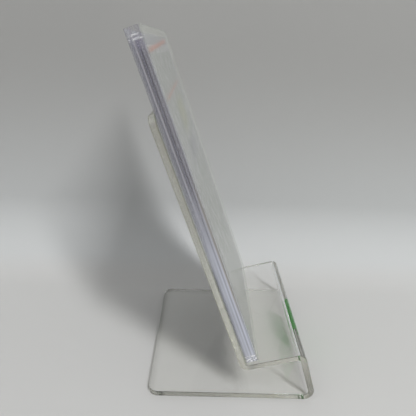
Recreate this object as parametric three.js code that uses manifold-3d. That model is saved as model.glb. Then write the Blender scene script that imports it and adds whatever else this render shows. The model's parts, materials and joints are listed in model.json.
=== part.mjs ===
// Acrylic display stand with a slim pocket photo album standing on its ledge.
// Millimetres, +Z up. +X is the side the album faces, Y runs across the stand.
// The finished group has its origin in the middle of its footprint, on the table.

import * as THREE from "three";
import { mergeVertices } from "three/addons/utils/BufferGeometryUtils.js";
import Module from "manifold-3d";

const wasm = await Module();
wasm.setup();

// ---------------------------------------------------------------- driving dimensions

// Stand: one sheet, laser cut flat and bent three times. Lengths of its four flats
// run from corner to corner of the sheet's middle line, as if the bends were sharp.
const STAND_WIDTH = 92;
const SHEET = 3;
const BASE_LENGTH = 83.2;
const RISER_LENGTH = 26.5;
const LEDGE_LENGTH = 28.9;
const REST_LENGTH = 128;
const RISER_LEAN = 17.3;
const LEDGE_SLOPE = 16;
const REST_LEAN = 20;
const FOOT_BEND_INNER = 2;
const UPPER_BEND_INNER = 1.2;
const CORNER_RADIUS = 5;
const CORNER_OVERCUT = 1;

// Green label stuck on the front of the riser, a little towards the near side.
const LABEL_THICKNESS = 0.15;
const LABEL_GAP = 0.05;
const LABEL_WIDTH = 27;
const LABEL_HEIGHT = 14;
const LABEL_CORNER_RADIUS = 3;
const LABEL_CENTRE_HEIGHT = 13.5;
const LABEL_NEAR_SHIFT = 4.3;

// Album: covers, spine and four film pockets, each with one print.
const COVER_HEIGHT = 156;
const ALBUM_SIDE_STEP = 0.2;
const COVER_SHEET = 0.6;
const COVER_CORNER_RADIUS = 4;
const LEAF_COUNT = 4;
const LEAF_HEIGHT = 152.5;
const LEAF_BOTTOM_MARGIN = 0.6;
const LEAF_FORE_MARGIN = 1.5;
const FILM = 0.2;
const SEAM_WIDTH = 1.5;
const SEAM_GAP = 0.05;
const PRINT_THICKNESS = 0.35;
const PRINT_CLEARANCE = 0.15;
const PRINT_SIDE_CLEARANCE = 0.3;
const PRINT_TOP_MARGIN = 4;
const LEAF_GAP = 0.2;
const HINGE_INSET = 1;
const HINGE_ROOT = 2.5;
const SEAT_GAP = 0.3;
const LEDGE_GAP = 0.4;

// Fineness of the round stretches.
const BEND_SEGMENTS = 10;
const CORNER_SEGMENTS = 8;

// ---------------------------------------------------------------- materials

const acrylic = new THREE.MeshStandardMaterial({
  color: 0xdfe4dc, roughness: 0.04, metalness: 0, transparent: true, opacity: 0.35,
});
const greenVinyl = new THREE.MeshStandardMaterial({
  color: 0x2fae4a, roughness: 0.35, metalness: 0,
});
const coverPlastic = new THREE.MeshStandardMaterial({
  color: 0xe4e4ee, roughness: 0.22, metalness: 0, transparent: true, opacity: 0.55,
});
const film = new THREE.MeshStandardMaterial({
  color: 0xc9cadf, roughness: 0.12, metalness: 0, transparent: true, opacity: 0.4,
});
const weld = new THREE.MeshStandardMaterial({
  color: 0xd6d6e6, roughness: 0.3, metalness: 0, transparent: true, opacity: 0.6,
});
const paper = new THREE.MeshStandardMaterial({
  color: 0xf0efeb, roughness: 0.55, metalness: 0,
});

// ---------------------------------------------------------------- solid helpers

/** Turns a closed three.js geometry into a manifold-3d solid. */
function toSolid(geometry) {
  const bare = geometry.clone();
  bare.deleteAttribute("normal");
  bare.deleteAttribute("uv");
  const merged = mergeVertices(bare, 1e-4);
  return new wasm.Manifold(new wasm.Mesh({
    numProp: 3,
    vertProperties: new Float32Array(merged.attributes.position.array),
    triVerts: new Uint32Array(merged.index.array),
  }));
}

/** Turns a manifold-3d solid back into a three.js geometry. */
function toGeometry(solid) {
  const mesh = solid.getMesh();
  const geometry = new THREE.BufferGeometry();
  geometry.setAttribute("position", new THREE.BufferAttribute(mesh.vertProperties, 3));
  geometry.setIndex(new THREE.BufferAttribute(mesh.triVerts, 1));
  geometry.computeVertexNormals();
  return geometry;
}

function named(name, geometry, material) {
  const mesh = new THREE.Mesh(geometry, material.clone());
  mesh.name = name;
  return mesh;
}

/** Extrudes an outline drawn in X and Z along +Y, starting at Y = 0. */
function extrudeAlongY(outline, width, curveSegments) {
  const geometry = new THREE.ExtrudeGeometry(outline, {
    depth: width, bevelEnabled: false, curveSegments,
  });
  return geometry.rotateX(Math.PI / 2).translate(0, width, 0);
}

/** Extrudes an outline drawn in Y and Z along +X, starting at X = 0. */
function extrudeAlongX(outline, thickness, curveSegments) {
  const geometry = new THREE.ExtrudeGeometry(outline, {
    depth: thickness, bevelEnabled: false, curveSegments,
  });
  return geometry.rotateX(Math.PI / 2).rotateZ(Math.PI / 2);
}

/** A plate between two depths, two widths and two heights of the album. */
function plate([x0, x1], [y0, y1], [z0, z1]) {
  const geometry = new THREE.BoxGeometry(x1 - x0, y1 - y0, z1 - z0);
  return geometry.translate((x0 + x1) / 2, (y0 + y1) / 2, (z0 + z1) / 2);
}

// ---------------------------------------------------------------- stand

const rad = THREE.MathUtils.degToRad;

/** Direction in the side view, by its angle above the forward axis. */
function heading(degrees) {
  return new THREE.Vector2(Math.cos(rad(degrees)), Math.sin(rad(degrees)));
}

const riserHeading = 90 + RISER_LEAN;
const ledgeHeading = 180 + LEDGE_SLOPE;
const restHeading = 90 + REST_LEAN;

/** Corners of the sheet's middle line in the side view, from the base's rear edge. */
function middleLine() {
  const rear = new THREE.Vector2(0, SHEET / 2);
  const foot = rear.clone().addScaledVector(heading(0), BASE_LENGTH);
  const lip = foot.clone().addScaledVector(heading(riserHeading), RISER_LENGTH);
  const crook = lip.clone().addScaledVector(heading(ledgeHeading), LEDGE_LENGTH);
  const top = crook.clone().addScaledVector(heading(restHeading), REST_LENGTH);
  return { rear, foot, lip, crook, top };
}

const line = middleLine();

/**
 * One bend of the sheet: where its arc is centred, the angles of its two ends and
 * which way it turns. side is 1 for a bend to the left of travel, -1 to the right.
 */
function bend(corner, headingIn, headingOut, innerRadius) {
  const turn = headingOut - headingIn;
  const side = Math.sign(turn);
  const middleRadius = innerRadius + SHEET / 2;
  const setback = middleRadius * Math.tan(rad(Math.abs(turn) / 2));
  const start = corner.clone().addScaledVector(heading(headingIn), -setback);
  const centre = start.clone().addScaledVector(heading(headingIn + side * 90), middleRadius);
  return {
    centre, side, middleRadius,
    from: rad(headingIn - side * 90),
    to: rad(headingOut - side * 90),
  };
}

const bends = [
  bend(line.foot, 0, riserHeading, FOOT_BEND_INNER),
  bend(line.lip, riserHeading, ledgeHeading, UPPER_BEND_INNER),
  bend(line.crook, ledgeHeading, restHeading, UPPER_BEND_INNER),
];

/** Side view of the bent sheet: out along its outer face and back along the inner. */
function sheetOutline() {
  const half = SHEET / 2;
  const offset = (point, degrees, side) =>
    point.clone().addScaledVector(heading(degrees + 90), side * half);
  const rearTop = offset(line.rear, 0, 1);
  const rearBottom = offset(line.rear, 0, -1);
  const outline = new THREE.Shape();
  outline.moveTo(rearTop.x, rearTop.y);
  outline.lineTo(rearBottom.x, rearBottom.y);
  for (const { centre, side, middleRadius, from, to } of bends) {
    const radius = middleRadius + side * half;
    outline.absarc(centre.x, centre.y, radius, from, to, side < 0);
  }
  const outerEnd = offset(line.top, restHeading, -1);
  const innerStart = offset(line.top, restHeading, 1);
  outline.lineTo(outerEnd.x, outerEnd.y);
  outline.lineTo(innerStart.x, innerStart.y);
  for (const { centre, side, middleRadius, from, to } of [...bends].reverse()) {
    const radius = middleRadius - side * half;
    outline.absarc(centre.x, centre.y, radius, to, from, side > 0);
  }
  outline.closePath();
  return outline;
}

/**
 * Cutter that rounds one square corner of a flat. It is drawn with the corner at its
 * origin and the plate reaching towards +X and +Y, and is as deep as the sheet.
 */
function cornerCutter() {
  const r = CORNER_RADIUS;
  const outline = new THREE.Shape();
  outline.moveTo(-CORNER_OVERCUT, -CORNER_OVERCUT);
  outline.lineTo(r, -CORNER_OVERCUT);
  outline.lineTo(r, 0);
  outline.absarc(r, r, r, -Math.PI / 2, -Math.PI, true);
  outline.lineTo(-CORNER_OVERCUT, r);
  outline.closePath();
  const geometry = new THREE.ExtrudeGeometry(outline, {
    depth: SHEET + 2 * CORNER_OVERCUT, bevelEnabled: false, curveSegments: CORNER_SEGMENTS,
  });
  return geometry.translate(0, 0, -SHEET / 2 - CORNER_OVERCUT);
}

/** Places the corner cutter at one end of the sheet's middle line. */
function placedCutter(end, inwards, farSide) {
  const along = new THREE.Vector3(heading(inwards).x, 0, heading(inwards).y);
  const across = new THREE.Vector3(0, farSide ? -1 : 1, 0);
  const normal = new THREE.Vector3().crossVectors(along, across);
  const place = new THREE.Matrix4().makeBasis(along, across, normal);
  place.setPosition(end.x, farSide ? STAND_WIDTH : 0, end.y);
  return toSolid(cornerCutter().applyMatrix4(place));
}

function standSheet() {
  let solid = toSolid(extrudeAlongY(sheetOutline(), STAND_WIDTH, BEND_SEGMENTS));
  for (const farSide of [false, true]) {
    solid = solid.subtract(placedCutter(line.rear, 0, farSide));
    solid = solid.subtract(placedCutter(line.top, restHeading + 180, farSide));
  }
  return named("stand_sheet", toGeometry(solid), acrylic);
}

/** A rectangle with round corners, lying in Y and Z about the origin. */
function roundedRectangle(width, height, r) {
  const x = width / 2 - r;
  const y = height / 2 - r;
  const quarter = Math.PI / 2;
  const outline = new THREE.Shape();
  outline.absarc(x, -y, r, -quarter, 0, false);
  outline.absarc(x, y, r, 0, quarter, false);
  outline.absarc(-x, y, r, quarter, 2 * quarter, false);
  outline.absarc(-x, -y, r, 2 * quarter, 3 * quarter, false);
  outline.closePath();
  return outline;
}

/** The label, placed in a frame that lies in the middle of the riser's sheet. */
function riserLabel() {
  const riser = new THREE.Group();
  riser.position.set(line.foot.x, 0, line.foot.y);
  riser.rotation.y = -rad(RISER_LEAN);
  const outline = roundedRectangle(LABEL_WIDTH, LABEL_HEIGHT, LABEL_CORNER_RADIUS);
  const label = extrudeAlongX(outline, LABEL_THICKNESS, CORNER_SEGMENTS);
  const acrossCentre = STAND_WIDTH / 2 - LABEL_NEAR_SHIFT;
  label.translate(SHEET / 2 + LABEL_GAP, acrossCentre, LABEL_CENTRE_HEIGHT);
  riser.add(named("riser_label", label, greenVinyl));
  return riser;
}

// ---------------------------------------------------------------- album

// Across the album's thickness, from the back rest outwards.
const pocketDepth = PRINT_THICKNESS + 2 * PRINT_CLEARANCE;
const leafThickness = pocketDepth + 2 * FILM;
const leafPitch = leafThickness + LEAF_GAP;
const backCoverFace = SEAT_GAP + COVER_SHEET;
const frontCoverBack = backCoverFace + LEAF_GAP + LEAF_COUNT * leafPitch;

// Across the album's width, which follows the stand's. The leaves start past their
// hinge lines, which stand clear of the spine strip: the film between is what bends.
// The front cover folds about its own near edge.
const coverWidth = STAND_WIDTH - 2 * ALBUM_SIDE_STEP;
const leafRoot = HINGE_INSET + HINGE_ROOT;
const leafForeEdge = coverWidth - LEAF_FORE_MARGIN;

/** A cover plate with its two fore-edge corners rounded. */
function cover(name, backFace) {
  const r = COVER_CORNER_RADIUS;
  const outline = new THREE.Shape();
  outline.moveTo(0, 0);
  outline.lineTo(coverWidth - r, 0);
  outline.absarc(coverWidth - r, r, r, -Math.PI / 2, 0, false);
  outline.absarc(coverWidth - r, COVER_HEIGHT - r, r, 0, Math.PI / 2, false);
  outline.lineTo(0, COVER_HEIGHT);
  outline.closePath();
  const geometry = extrudeAlongX(outline, COVER_SHEET, CORNER_SEGMENTS);
  return named(name, geometry.translate(backFace, 0, 0), coverPlastic);
}

/** The spine strip closes the near side, between the back cover and the front one. */
function spine() {
  const depth = [backCoverFace + SEAM_GAP, frontCoverBack - LEAF_GAP];
  return named("album_spine", plate(depth, [0, COVER_SHEET], [0, COVER_HEIGHT]), coverPlastic);
}

/** The heat seams of a pocket, along its hinge side, its fore edge and its bottom. */
function seams(number, depth, bottom) {
  const top = bottom + LEAF_HEIGHT;
  const bottomTop = bottom + SEAM_WIDTH;
  const sideHeight = [bottomTop + SEAM_GAP, top];
  const hingeWidth = [leafRoot, leafRoot + SEAM_WIDTH];
  const foreWidth = [leafForeEdge - SEAM_WIDTH, leafForeEdge];
  const wholeWidth = [leafRoot, leafForeEdge];
  return [
    named(`leaf_${number}_hinge_seam`, plate(depth, hingeWidth, sideHeight), weld),
    named(`leaf_${number}_fore_seam`, plate(depth, foreWidth, sideHeight), weld),
    named(`leaf_${number}_bottom_seam`, plate(depth, wholeWidth, [bottom, bottomTop]), weld),
  ];
}

/** One pocket leaf: two films, the seams that join them and the print between. */
function leaf(number) {
  const back = backCoverFace + LEAF_GAP + (number - 1) * leafPitch;
  const pocket = [back + FILM, back + FILM + pocketDepth];
  const front = [pocket[1], pocket[1] + FILM];
  const bottom = LEAF_BOTTOM_MARGIN;
  const width = [leafRoot, leafForeEdge];
  const height = [bottom, bottom + LEAF_HEIGHT];
  const seamDepth = [pocket[0] + SEAM_GAP, pocket[1] - SEAM_GAP];
  const printDepth = [pocket[0] + PRINT_CLEARANCE, pocket[1] - PRINT_CLEARANCE];
  const printInset = SEAM_WIDTH + PRINT_SIDE_CLEARANCE;
  const printWidth = [leafRoot + printInset, leafForeEdge - printInset];
  const printHeight = [bottom + printInset, height[1] - PRINT_TOP_MARGIN];
  return [
    named(`leaf_${number}_back_film`, plate([back, back + FILM], width, height), film),
    ...seams(number, seamDepth, bottom),
    named(`leaf_${number}_print`, plate(printDepth, printWidth, printHeight), paper),
    named(`leaf_${number}_front_film`, plate(front, width, height), film),
  ];
}

/** Where the ledge's top face and the rest's front face would meet, in the side view. */
function seatCorner() {
  const half = SHEET / 2;
  const opening = restHeading - (ledgeHeading - 180);
  const reach = half / Math.sin(rad(opening / 2));
  const bisector = (restHeading + ledgeHeading - 180) / 2;
  return line.crook.clone().addScaledVector(heading(bisector), reach);
}

/** Height up the rest at which the album clears the inside of the rear bend. */
function seatLift() {
  const opening = restHeading - (ledgeHeading - 180);
  return UPPER_BEND_INNER / Math.tan(rad(opening / 2)) + LEDGE_GAP;
}

function album() {
  const group = new THREE.Group();
  const corner = seatCorner().addScaledVector(heading(restHeading), seatLift());
  group.position.set(corner.x, ALBUM_SIDE_STEP, corner.y);
  group.rotation.y = -rad(REST_LEAN);
  group.add(cover("album_back_cover", SEAT_GAP));
  group.add(spine());
  for (let number = 1; number <= LEAF_COUNT; number += 1) {
    group.add(...leaf(number));
  }
  group.add(cover("album_front_cover", frontCoverBack));
  return group;
}

// ---------------------------------------------------------------- whole object

const object = new THREE.Group();
object.add(standSheet(), riserLabel(), album());
object.updateMatrixWorld(true);
const extent = new THREE.Box3().setFromObject(object, true);
const middle = extent.getCenter(new THREE.Vector3());
object.position.set(-middle.x, -middle.y, -extent.min.z);

export default object;
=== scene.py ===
"""Visual model of a clear acrylic display stand with a slim pocket photo album on it.

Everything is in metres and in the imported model's own frame: +X is the side that the
album faces, Y runs across the stand and Z is up.
"""

import json
import logging
import math
from dataclasses import dataclass
from enum import Enum
from typing import Any, Callable, Sequence

import bmesh
import bpy
from mathutils import Matrix, Vector


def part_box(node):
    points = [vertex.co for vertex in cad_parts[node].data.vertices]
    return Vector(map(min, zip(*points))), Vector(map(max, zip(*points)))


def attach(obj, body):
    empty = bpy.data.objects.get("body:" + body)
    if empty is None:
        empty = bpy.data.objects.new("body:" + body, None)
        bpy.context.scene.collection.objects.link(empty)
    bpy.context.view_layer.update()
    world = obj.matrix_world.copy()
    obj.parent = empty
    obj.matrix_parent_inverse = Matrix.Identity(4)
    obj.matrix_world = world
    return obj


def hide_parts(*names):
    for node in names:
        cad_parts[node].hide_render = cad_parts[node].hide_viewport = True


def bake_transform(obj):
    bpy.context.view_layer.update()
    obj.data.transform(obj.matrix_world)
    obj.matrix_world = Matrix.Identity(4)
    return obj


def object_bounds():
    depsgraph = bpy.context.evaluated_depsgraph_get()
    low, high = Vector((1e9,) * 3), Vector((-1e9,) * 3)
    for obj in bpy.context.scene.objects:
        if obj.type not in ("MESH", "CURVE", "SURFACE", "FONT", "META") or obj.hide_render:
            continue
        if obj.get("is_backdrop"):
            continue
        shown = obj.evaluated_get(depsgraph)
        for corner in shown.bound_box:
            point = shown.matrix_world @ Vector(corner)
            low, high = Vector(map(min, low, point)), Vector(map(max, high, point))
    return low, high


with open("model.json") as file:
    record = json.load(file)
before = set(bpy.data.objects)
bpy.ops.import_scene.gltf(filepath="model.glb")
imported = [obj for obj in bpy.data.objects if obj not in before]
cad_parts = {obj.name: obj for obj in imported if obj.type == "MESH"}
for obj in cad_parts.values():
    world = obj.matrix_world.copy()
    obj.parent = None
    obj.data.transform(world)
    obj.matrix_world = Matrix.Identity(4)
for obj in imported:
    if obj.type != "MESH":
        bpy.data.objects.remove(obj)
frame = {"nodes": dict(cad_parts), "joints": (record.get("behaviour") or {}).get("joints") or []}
CAD_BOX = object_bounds()

MM = 0.001
FOLD_STEPS = 18
CORNER_STEPS = 12
SHARP_ANGLE = 40.0
LOG = logging.getLogger("album_stand")

Colour = tuple[float, float, float]
Span = tuple[float, float]


# ------------------------------------------------------------------ shader graphs


class Wire:
    """A shader socket on which Python arithmetic adds Math nodes."""

    def __init__(self, graph: "Graph", socket: bpy.types.NodeSocket) -> None:
        """Keeps the graph that new nodes go into."""
        self.graph = graph
        self.socket = socket

    def _math(self, operation: str, first: Any, second: Any) -> "Wire":
        """One Math node on two values."""
        return self.graph.node("ShaderNodeMath", {"operation": operation},
                               {0: first, 1: second})[0]

    def __add__(self, other: Any) -> "Wire":
        """self + other."""
        return self._math("ADD", self, other)

    def __radd__(self, other: Any) -> "Wire":
        """other + self."""
        return self._math("ADD", other, self)

    def __sub__(self, other: Any) -> "Wire":
        """self - other."""
        return self._math("SUBTRACT", self, other)

    def __rsub__(self, other: Any) -> "Wire":
        """other - self."""
        return self._math("SUBTRACT", other, self)

    def __mul__(self, other: Any) -> "Wire":
        """self * other."""
        return self._math("MULTIPLY", self, other)

    def __rmul__(self, other: Any) -> "Wire":
        """other * self."""
        return self._math("MULTIPLY", other, self)

    def __truediv__(self, other: Any) -> "Wire":
        """self / other."""
        return self._math("DIVIDE", self, other)


class Outputs:
    """The outputs of a node, picked by place or by name."""

    def __init__(self, graph: "Graph", node: bpy.types.Node) -> None:
        """Keeps the node whose outputs are picked."""
        self.graph = graph
        self.made = node

    def __getitem__(self, key: int | str) -> Wire:
        """The output of that place or name."""
        return Wire(self.graph, self.made.outputs[key])


class Graph:
    """A new material or world, and the nodes that are put in it."""

    def __init__(self, name: str, world: bool = False) -> None:
        """Starts an empty node tree.

        Args:
            name: The name of the material or the world.
            world: Whether it is a world.
        """
        self.owner = (bpy.data.worlds if world else bpy.data.materials).new(name)
        self.output = "ShaderNodeOutputWorld" if world else "ShaderNodeOutputMaterial"
        self.owner.use_nodes = True
        self.tree = self.owner.node_tree
        self.tree.nodes.clear()

    def node(self, kind: str, settings: dict[str, Any] | None = None,
             inputs: dict[int | str, Any] | None = None) -> Outputs:
        """Adds a node.

        Args:
            kind: The node's type.
            settings: Its own settings; "stops" are a colour ramp's places and colours.
            inputs: A value or a link for each socket, by place or by name.

        Returns:
            The node's outputs.
        """
        made = self.tree.nodes.new(kind)
        for name, value in (settings or {}).items():
            if name == "stops":
                self._set_stops(made.color_ramp, value)
            else:
                setattr(made, name, value)
        for key, value in (inputs or {}).items():
            socket = made.inputs[key]
            if isinstance(value, Wire):
                self.tree.links.new(value.socket, socket)
            elif socket.type == "RGBA":
                socket.default_value = (*value, 1.0)
            else:
                socket.default_value = value
        return Outputs(self, made)

    @staticmethod
    def _set_stops(ramp: bpy.types.ColorRamp, stops: Sequence[tuple[float, Colour]]) -> None:
        """Gives a colour ramp its stops.

        Args:
            ramp: The ramp, with two stops or fewer than are wanted.
            stops: Places and colours, in rising order.
        """
        while len(ramp.elements) < len(stops):
            ramp.elements.new(1.0)
        for element, (place, colour) in zip(ramp.elements, stops):
            element.position = place
            element.color = (*colour, 1.0)

    def blend(self, share: Any, first: Any, second: Any) -> Wire:
        """The colour between two, from the first at a share of 0 to the second at 1."""
        return self.node("ShaderNodeMix", {"data_type": "RGBA", "clamp_factor": True},
                         {0: share, 6: first, 7: second})[2]

    def mix(self, share: Any, first: Wire, second: Wire) -> Wire:
        """The shader between two, from the first at a share of 0 to the second at 1."""
        return self.node("ShaderNodeMixShader", {}, {0: share, 1: first, 2: second})[0]

    def solid(self, colour: Any, roughness: Any, normal: Wire, clear: float = 0.0,
              refraction: float = 1.5) -> Wire:
        """A Principled shader.

        Args:
            colour: Its base colour.
            roughness: Its roughness.
            normal: Its bumped normal.
            clear: How much of it is clear inside.
            refraction: Its index of refraction.

        Returns:
            The shader.
        """
        return self.node("ShaderNodeBsdfPrincipled", {}, {
            "Base Color": colour, "Roughness": roughness, "IOR": refraction,
            "Transmission Weight": clear, "Normal": normal})[0]

    def see_through(self, tint: Colour = (1.0, 1.0, 1.0)) -> Wire:
        """A shader that lets light straight through, tinted."""
        return self.node("ShaderNodeBsdfTransparent", {}, {"Color": tint})[0]

    def slant(self) -> Wire:
        """How far a surface slants away from the ray that meets it, from 0 to 1."""
        return self.node("ShaderNodeLayerWeight", {}, {"Blend": 0.5})["Facing"]

    def smooth_step(self, value: Any, low: float, high: float) -> Wire:
        """A mask that rises smoothly from 0 at low to 1 at high."""
        return self.node("ShaderNodeMapRange", {"interpolation_type": "SMOOTHSTEP"},
                         {0: value, 1: low, 2: high})[0]

    def band(self, value: Any, low: float, high: float, soft: float) -> Wire:
        """A mask that is 1 between low and high, with soft edges."""
        rise = self.smooth_step(value, low - soft, low + soft)
        return rise * (1.0 - self.smooth_step(value, high - soft, high + soft))

    def noise(self, where: Wire, scale: float, detail: float = 2.0,
              roughness: float = 0.5) -> Wire:
        """Noise of the given scale, per metre, between 0 and 1."""
        return self.node("ShaderNodeTexNoise", {},
                         {"Vector": where, "Scale": scale, "Detail": detail,
                          "Roughness": roughness})[0]

    def object_place(self, turn: Sequence[float] = (0, 0, 0),
                     shift: Sequence[float] = (0, 0, 0),
                     scale: Sequence[float] = (1, 1, 1)) -> Wire:
        """Object coordinates, scaled, then turned, then shifted."""
        coordinates = self.node("ShaderNodeTexCoord")["Object"]
        return self.node("ShaderNodeMapping", {"vector_type": "POINT"},
                         {"Vector": coordinates, "Location": tuple(shift),
                          "Rotation": tuple(turn), "Scale": tuple(scale)})[0]

    def parts(self, where: Wire) -> tuple[Wire, Wire, Wire]:
        """The three numbers of a vector."""
        split = self.node("ShaderNodeSeparateXYZ", {}, {0: where})
        return split[0], split[1], split[2]

    def bump(self, height: Wire, depth: float, strength: float) -> Wire:
        """A Bump node over a height, with its depth in metres."""
        return self.node("ShaderNodeBump", {},
                         {"Height": height, "Distance": depth, "Strength": strength})[0]

    def finish(self, surface: Wire, volume: Wire | None = None) -> Any:
        """Joins the surface, and a volume if there is one, to the output.

        Args:
            surface: The shader of the surface, or of a world's background.
            volume: The shader of what is inside.

        Returns:
            The material or the world.
        """
        shaders = {"Surface": surface}
        if volume is not None:
            shaders["Volume"] = volume
        self.node(self.output, {}, shaders)
        return self.owner


def shade(colour: Colour, share: float) -> Colour:
    """A colour made darker."""
    return tuple(share * c for c in colour)


# ------------------------------------------------------------------ slanted axes


def joint_named(name: str) -> dict[str, Any]:
    """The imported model's joint of that name."""
    return next(j for j in frame["joints"] if j["name"] == name)


@dataclass(frozen=True)
class SlopeAxes:
    """Directions of what leans: depth out of the slope, width across, height up it."""

    depth: Vector
    width: Vector
    height: Vector

    @classmethod
    def of_album(cls) -> "SlopeAxes":
        """Reads the slope of the rest from the way the album lifts off."""
        up = Vector(joint_named("album_lift")["axis"]).normalized()
        return cls(Vector((up.z, 0, -up.x)), Vector((0, 1, 0)), up)

    @classmethod
    def leaning(cls, degrees: float) -> "SlopeAxes":
        """The axes of a wall that leans back by that much."""
        lean = math.radians(degrees)
        return cls(Vector((math.cos(lean), 0, math.sin(lean))), Vector((0, 1, 0)),
                   Vector((-math.sin(lean), 0, math.cos(lean))))

    def place(self, depth: float, width: float, height: float) -> Vector:
        """The point at that depth, width and height from the model's origin."""
        return self.depth * depth + self.width * width + self.height * height

    def extent(self, node: str) -> tuple[Vector, Vector]:
        """Measures a CAD node along the axes.

        Args:
            node: The node's name.

        Returns:
            Its lowest depth, width and height, and its highest.
        """
        points = [v.co for v in frame["nodes"][node].data.vertices]
        measured = [(p @ self.depth, p @ self.width, p @ self.height) for p in points]
        return (Vector(map(min, zip(*measured))), Vector(map(max, zip(*measured))))

    def turn(self) -> tuple[float, float, float]:
        """The turn that takes the model's axes onto depth, width and height."""
        return (0.0, math.atan2(self.depth.z, self.depth.x), 0.0)


AXES = SlopeAxes.of_album()


# ------------------------------------------------------------------ finishes


class ClearTint(Enum):
    """How a clear plastic colours what is behind it."""

    CAST_ACRYLIC = (0.997, 0.998, 0.995)
    LILAC_FILM = (0.962, 0.957, 0.985)
    COVER_SHEET = (0.965, 0.97, 0.965)


@dataclass(frozen=True)
class AcrylicFinish:
    """One kind of surface on cast acrylic sheet.

    Attributes:
        name: The material's name.
        tint: What it does to the colour of light that passes.
        roughness: How dull it is.
        clear: How much of it is clear rather than milky.
        light: How much of a lamp's light gets through it face on.
        relief: Scale, detail and roughness of its ripples or saw marks.
        depth: Their depth.
        strength: How strongly they show.
        refraction: The plastic's index of refraction.
        absorbed: The colour that builds up along the sheet.
        absorption: How fast it builds up.
        slanted_light: The share of the light that a bend still lets through.
        slants: From which slant to which the light falls off to that.
    """

    name: str
    tint: Colour
    roughness: float
    clear: float
    light: float
    relief: tuple[float, float, float]
    depth: float
    strength: float
    refraction: float = 1.49
    absorbed: Colour = (0.915, 0.912, 0.865)
    absorption: float = 7.0
    slanted_light: float = 0.35
    slants: Span = (0.4, 0.85)

    def dress(self) -> bpy.types.Material:
        """Makes the material.

        Returns:
            The material, with the tint inside it as a volume.
        """
        graph = Graph(self.name)
        relief = graph.bump(graph.noise(graph.object_place(), *self.relief), self.depth,
                            self.strength)
        glass = graph.solid(self.tint, self.roughness, relief, self.clear, self.refraction)
        body = graph.node("ShaderNodeVolumeAbsorption", {},
                          {"Color": self.absorbed, "Density": self.absorption})[0]
        return graph.finish(self._clear_to_lamps(graph, glass), body)

    def _clear_to_lamps(self, graph: Graph, glass: Wire) -> Wire:
        """Lets lamps through the plastic, so that its shadow is as light as a real one.

        Args:
            graph: The material's nodes.
            glass: The plastic as it is seen.

        Returns:
            The shader that lamps meet as a clear one.
        """
        face_on, slanted = (graph.see_through((light, light, light * 0.99))
                            for light in (self.light, self.light * self.slanted_light))
        through = graph.mix(graph.smooth_step(graph.slant(), *self.slants), face_on, slanted)
        path = graph.node("ShaderNodeLightPath")
        for ray in ("Is Diffuse Ray", "Is Shadow Ray"):
            glass = graph.mix(path[ray], glass, through)
        return glass


POLISHED = AcrylicFinish("acrylic_polished", ClearTint.CAST_ACRYLIC.value, 0.0, 1.0, 0.985,
                         (26.0, 1.0, 0.5), 0.02 * MM, 0.6)
SAWN = AcrylicFinish("acrylic_edge", (0.94, 0.935, 0.90), 0.16, 0.93, 0.40,
                     (900.0, 2.0, 0.6), 0.04 * MM, 0.5)


@dataclass(frozen=True)
class SheetFinish:
    """Thin translucent plastic, clearer face on than along its surface.

    Attributes:
        name: The material's name.
        tint: What it does to the colour of light that passes.
        milk: The colour of its milky part.
        facing: How milky it is face on.
        grazing: How milky it is at a low angle.
        roughness: How dull it is.
        grain_scale: The scale of its fine grain.
        relief_depth: The depth of the grain, the waves and any dents.
        wave_scale: The scale of its slow waves.
        wave_height: Their height over the grain's depth.
        cloud_scale: The scale of the faint clouds in it.
        cloud_shade: How dark they are.
        refraction: Its index of refraction.
    """

    name: str
    tint: ClearTint
    milk: Colour
    facing: float
    grazing: float
    roughness: float
    grain_scale: float = 1400.0
    relief_depth: float = 0.01 * MM
    wave_scale: float = 38.0
    wave_height: float = 6.0
    cloud_scale: float = 55.0
    cloud_shade: float = 0.93
    refraction: float = 1.49

    def dress(self) -> bpy.types.Material:
        """The material."""
        graph = Graph(self.name)
        where = graph.object_place(AXES.turn())
        return self.finish(graph, self.colour(graph, where), where)

    def colour(self, graph: Graph, where: Wire) -> Wire:
        """The milky colour of the sheet, with the faint clouds of moulded film."""
        clouds = graph.smooth_step(graph.noise(where, self.cloud_scale, 3.0), 0.35, 0.7)
        return graph.blend(clouds, shade(self.milk, self.cloud_shade), self.milk)

    def finish(self, graph: Graph, colour: Wire, where: Wire,
               extra: Wire | float = 0.0, dents: Wire | float = 0.0) -> bpy.types.Material:
        """Lays the milky surface over what shows through it.

        Args:
            graph: The material's nodes.
            colour: The colour of the milky surface.
            where: Places in the album's axes.
            extra: How much more of it there is than the sheet's own, as under print.
            dents: Dents beyond the sheet's own relief, in units of its depth.

        Returns:
            The finished material.
        """
        grain = graph.noise(where, self.grain_scale)
        wave = graph.noise(where, self.wave_scale, 1.0)
        relief = graph.bump(grain * 0.25 + wave * self.wave_height + dents,
                            self.relief_depth, 0.8)
        skin = graph.solid(colour, self.roughness, relief, refraction=self.refraction)
        slant = graph.slant()
        share = self.facing + (self.grazing - self.facing) * (slant * slant) + extra
        return graph.finish(graph.mix(share, graph.see_through(self.tint.value), skin))


@dataclass(frozen=True)
class PrintedBand:
    """A faint band of ink across the front cover. Its lengths are in millimetres.

    Attributes:
        height: How high its middle is at the cover's near edge.
        rise: How much it climbs for each step across.
        half: Half of its height.
        near: Where it starts across the cover.
        far: Where it ends.
        ink: Its colour.
        strength: How much milkier it makes the sheet.
        soft: How soft its upper and lower edges are.
    """

    height: float
    rise: float
    half: float
    near: float
    far: float
    ink: Colour
    strength: float
    soft: float = 0.5


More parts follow.
